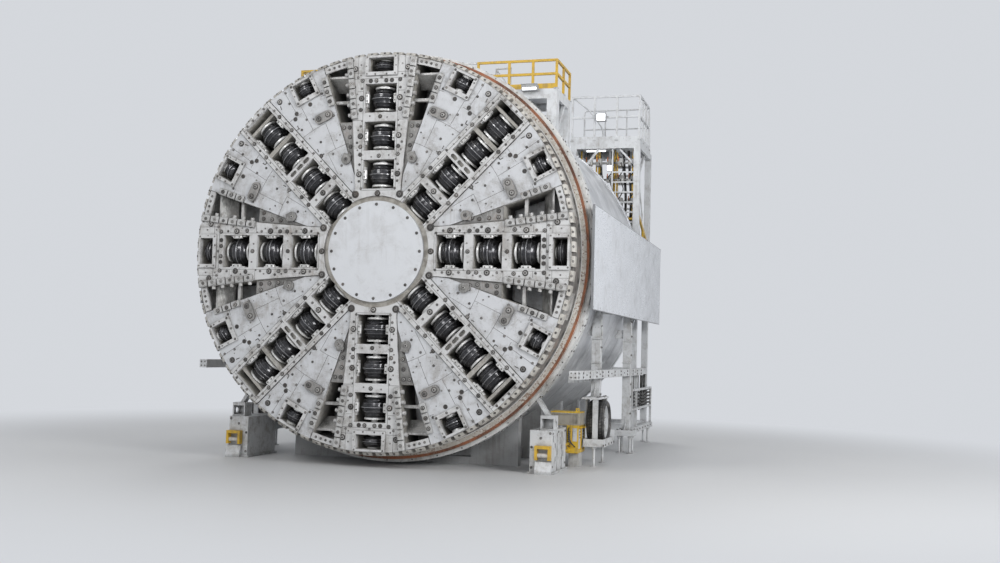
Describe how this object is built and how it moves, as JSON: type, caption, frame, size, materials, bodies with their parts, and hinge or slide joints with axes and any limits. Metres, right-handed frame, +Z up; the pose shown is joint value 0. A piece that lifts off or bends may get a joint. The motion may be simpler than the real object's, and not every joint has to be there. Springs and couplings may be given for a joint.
{
  "type": "tunnel boring machine cutterhead with shield",
  "caption": "Round hard-ground cutterhead with disc cutters and muck slots on a cylindrical shield, with carriage, side boards, decks and stairs.",
  "frame": {"origin": "on the floor, under the middle of the machine's box", "axes": "+Z up, the cutterhead faces -Y, +X is the right-hand side seen from the front"},
  "size_m": [8.48, 10.5, 9.17],
  "materials": {
    "white_paint": "satin white paint with grime",
    "grey_paint": "grey paint",
    "grey_steel": "bare grey steel, dull",
    "wear_steel": "worn bolt-on wear blocks",
    "bright_steel": "machined steel",
    "cutter_steel": "dark graphite, glossy",
    "rust_band": "rusty brown",
    "shield_metal": "smooth light metal",
    "rod_chrome": "chromed rods",
    "yellow_paint": "yellow paint",
    "tyre_rubber": "black rubber",
    "lamp_case": "grey lamp case"
  },
  "bodies": {
    "machine": {"seal_band": "rust_band", "flange_ring": "white_paint", "shield_skin": "shield_metal", "bulkhead": "white_paint", "thrust_barrels": "grey_paint", "side_boards": "white_paint", "foot_boxes": "white_paint", "foot_clamps": "yellow_paint", "power_unit": "yellow_paint", "carriage_frame": "white_paint", "wheel_bays": "white_paint", "cage_frames": "white_paint", "cradle": "grey_paint", "wheel_forks": "white_paint", "front_deck": "white_paint", "front_rails": "yellow_paint", "rear_tower": "white_paint", "rear_rails": "white_paint", "stairs": "white_paint", "floodlights": "lamp_case"},
    "cutterhead": {"head_drum": "white_paint", "head_segments": "white_paint", "face_arms": "white_paint", "face_panels": "white_paint", "hub_plate": "white_paint", "gusset_plates": "grey_steel", "slot_bars": "grey_steel", "rim_blocks": "wear_steel", "gauge_frames": "white_paint", "edge_teeth": "wear_steel", "cutter_saddles": "bright_steel"},
    "arm_cutters_1": {"arm_cutters_1": "cutter_steel"},
    "arm_cutters_2": {"arm_cutters_2": "cutter_steel"},
    "arm_cutters_3": {"arm_cutters_3": "cutter_steel"},
    "arm_cutters_4": {"arm_cutters_4": "cutter_steel"},
    "arm_cutters_5": {"arm_cutters_5": "cutter_steel"},
    "arm_cutters_6": {"arm_cutters_6": "cutter_steel"},
    "arm_cutters_7": {"arm_cutters_7": "cutter_steel"},
    "arm_cutters_8": {"arm_cutters_8": "cutter_steel"},
    "side_cutter_1": {"side_cutter_1": "cutter_steel"},
    "side_cutter_2": {"side_cutter_2": "cutter_steel"},
    "side_cutter_3": {"side_cutter_3": "cutter_steel"},
    "side_cutter_4": {"side_cutter_4": "cutter_steel"},
    "side_cutter_5": {"side_cutter_5": "cutter_steel"},
    "side_cutter_6": {"side_cutter_6": "cutter_steel"},
    "side_cutter_7": {"side_cutter_7": "cutter_steel"},
    "side_cutter_8": {"side_cutter_8": "cutter_steel"},
    "wheel_right": {"tyre_right": "tyre_rubber", "rim_right": "white_paint"},
    "wheel_left": {"tyre_left": "tyre_rubber", "rim_left": "white_paint"},
    "thrust_rods": {"thrust_rods": "rod_chrome"}
  },
  "joints": [
    {"name": "cutterhead_turn", "type": "hinge", "parent": "machine", "child": "cutterhead", "pos_m": [0, -5.205, 4.24], "axis": [0, 1, 0], "continuous": true},
    {"name": "arm_cutters_1_turn", "type": "hinge", "parent": "cutterhead", "child": "arm_cutters_1", "pos_m": [2, -4.95, 4.24], "axis": [1, 0, 0], "continuous": true},
    {"name": "arm_cutters_2_turn", "type": "hinge", "parent": "cutterhead", "child": "arm_cutters_2", "pos_m": [1.41421, -4.95, 5.65421], "axis": [0.7071, 0, 0.7071], "continuous": true},
    {"name": "arm_cutters_3_turn", "type": "hinge", "parent": "cutterhead", "child": "arm_cutters_3", "pos_m": [0, -4.95, 6.24], "axis": [0, 0, 1], "continuous": true},
    {"name": "arm_cutters_4_turn", "type": "hinge", "parent": "cutterhead", "child": "arm_cutters_4", "pos_m": [-1.41421, -4.95, 5.65421], "axis": [-0.7071, 0, 0.7071], "continuous": true},
    {"name": "arm_cutters_5_turn", "type": "hinge", "parent": "cutterhead", "child": "arm_cutters_5", "pos_m": [-2, -4.95, 4.24], "axis": [-1, 0, 0], "continuous": true},
    {"name": "arm_cutters_6_turn", "type": "hinge", "parent": "cutterhead", "child": "arm_cutters_6", "pos_m": [-1.41421, -4.95, 2.82579], "axis": [-0.7071, 0, -0.7071], "continuous": true},
    {"name": "arm_cutters_7_turn", "type": "hinge", "parent": "cutterhead", "child": "arm_cutters_7", "pos_m": [0, -4.95, 2.24], "axis": [0, 0, -1], "continuous": true},
    {"name": "arm_cutters_8_turn", "type": "hinge", "parent": "cutterhead", "child": "arm_cutters_8", "pos_m": [1.41421, -4.95, 2.82579], "axis": [0.7071, 0, -0.7071], "continuous": true},
    {"name": "side_cutter_1_turn", "type": "hinge", "parent": "cutterhead", "child": "side_cutter_1", "pos_m": [3.29672, -5.045, 5.91976], "axis": [0.891, 0, 0.454], "continuous": true},
    {"name": "side_cutter_2_turn", "type": "hinge", "parent": "cutterhead", "child": "side_cutter_2", "pos_m": [1.67976, -5.045, 7.53672], "axis": [0.454, 0, 0.891], "continuous": true},
    {"name": "side_cutter_3_turn", "type": "hinge", "parent": "cutterhead", "child": "side_cutter_3", "pos_m": [-1.67976, -5.045, 7.53672], "axis": [-0.454, 0, 0.891], "continuous": true},
    {"name": "side_cutter_4_turn", "type": "hinge", "parent": "cutterhead", "child": "side_cutter_4", "pos_m": [-3.29672, -5.045, 5.91976], "axis": [-0.891, 0, 0.454], "continuous": true},
    {"name": "side_cutter_5_turn", "type": "hinge", "parent": "cutterhead", "child": "side_cutter_5", "pos_m": [-3.29672, -5.045, 2.56024], "axis": [-0.891, 0, -0.454], "continuous": true},
    {"name": "side_cutter_6_turn", "type": "hinge", "parent": "cutterhead", "child": "side_cutter_6", "pos_m": [-1.67976, -5.045, 0.94328], "axis": [-0.454, 0, -0.891], "continuous": true},
    {"name": "side_cutter_7_turn", "type": "hinge", "parent": "cutterhead", "child": "side_cutter_7", "pos_m": [1.67976, -5.045, 0.94328], "axis": [0.454, 0, -0.891], "continuous": true},
    {"name": "side_cutter_8_turn", "type": "hinge", "parent": "cutterhead", "child": "side_cutter_8", "pos_m": [3.29672, -5.045, 2.56024], "axis": [0.891, 0, -0.454], "continuous": true},
    {"name": "wheel_right_turn", "type": "hinge", "parent": "machine", "child": "wheel_right", "pos_m": [3.905, -1.95, 0.91], "axis": [1, 0, 0], "continuous": true},
    {"name": "wheel_left_turn", "type": "hinge", "parent": "machine", "child": "wheel_left", "pos_m": [-3.905, -1.95, 0.91], "axis": [1, 0, 0], "continuous": true},
    {"name": "thrust_slide", "type": "slide", "parent": "machine", "child": "thrust_rods", "axis": [0, 1, 0], "range_m": [0, 1.7]}
  ]
}
